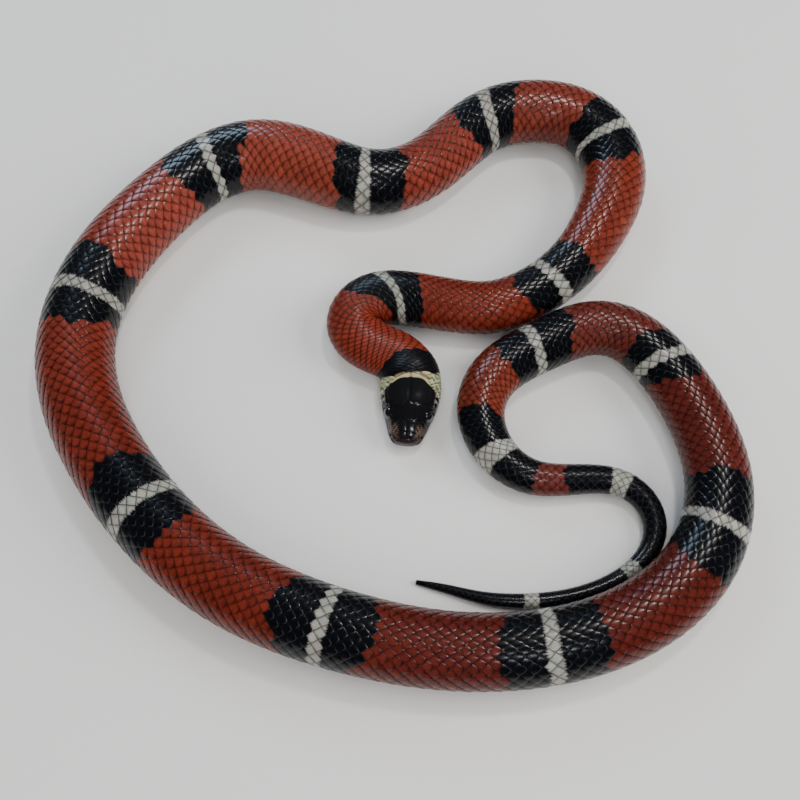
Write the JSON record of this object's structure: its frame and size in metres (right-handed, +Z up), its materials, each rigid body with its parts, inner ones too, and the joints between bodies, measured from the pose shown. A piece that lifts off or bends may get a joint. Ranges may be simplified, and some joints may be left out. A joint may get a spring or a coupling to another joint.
{
  "type": "milk snake",
  "caption": "Life-size tri-coloured snake lying still in loose loops on its flat belly, with a blunt head and a slender pointed tail.",
  "frame": {"origin": "on the floor, under the middle of the loops' outline", "axes": "+Z up from the floor, -Y the way the head points and the side that the picture was taken from, +X to the right as seen from there"},
  "size_m": [0.2371, 0.2346, 0.024],
  "materials": {
    "head_black": "glossy black head plates with a cream collar behind them",
    "eye_dark": "wet glossy dark eye",
    "scales_front": "satin-glossy orange-brick red scales, with black and greyish white rings",
    "scales_middle": "satin-glossy brick red scales, with black and greyish white rings",
    "scales_rear": "satin-glossy maroon scales, with black and greyish white rings",
    "scales_tail": "glossy blue-black scales, with narrow greyish white rings"
  },
  "bodies": {
    "root": {"head": "head_black", "eye_left": "eye_dark", "eye_right": "eye_dark", "neck": "scales_front", "body_1": "scales_front", "body_2": "scales_front", "body_3": "scales_front", "body_4": "scales_front", "body_5": "scales_middle", "body_6": "scales_middle", "body_7": "scales_middle", "body_8": "scales_rear", "body_9": "scales_rear", "tail_base": "scales_tail", "tail_end": "scales_tail"}
  },
  "joints": []
}
